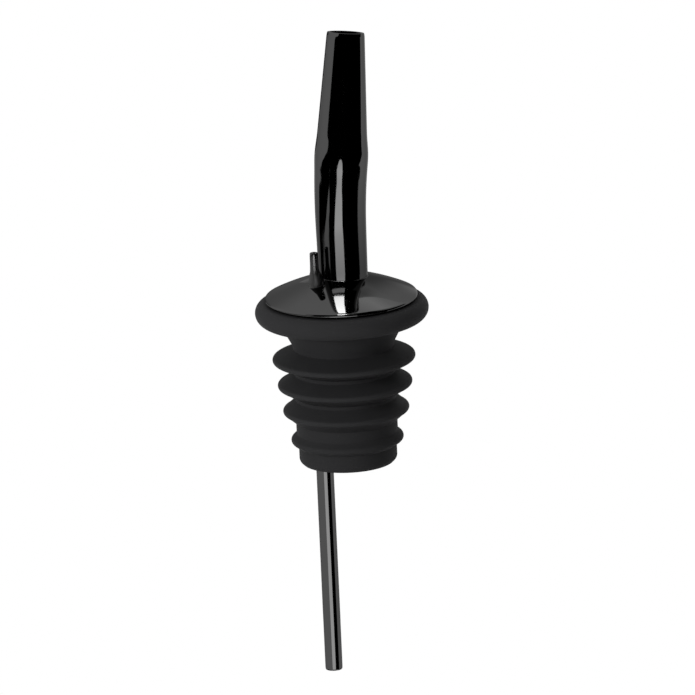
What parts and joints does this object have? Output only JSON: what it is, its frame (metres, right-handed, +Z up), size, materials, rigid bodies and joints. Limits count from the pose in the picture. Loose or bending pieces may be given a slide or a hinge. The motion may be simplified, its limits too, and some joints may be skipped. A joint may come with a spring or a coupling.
{
  "type": "liquor pourer",
  "caption": "Free-flow bottle pourer: bent tapered metal spout on a domed cap, with a breather tube and a finned rubber stopper that plugs a bottle's neck.",
  "frame": {"origin": "on the stopper's axis at the flange's underside, where it rests on the bottle's rim", "axes": "+Z up the stopper's axis towards the spout, +X the pouring side that the spout leans to, the breather tube at -X"},
  "size_m": [0.03, 0.03, 0.1128],
  "materials": {
    "rubber": "matte moulded black rubber",
    "black_chrome_cap": "polished dark plating",
    "black_chrome_spout": "polished dark plating",
    "black_chrome_sleeve": "dark plating",
    "black_chrome_tube": "polished dark plating"
  },
  "bodies": {
    "plug": {"stopper": "rubber"},
    "metalwork": {"cap": "black_chrome_cap", "pour_spout": "black_chrome_spout", "sleeve": "black_chrome_sleeve", "air_tube": "black_chrome_tube"}
  },
  "joints": [
    {"name": "spout_swivel", "type": "hinge", "parent": "plug", "child": "metalwork", "pos_m": [0, 0, 0], "axis": [0, 0, 1], "continuous": true}
  ]
}
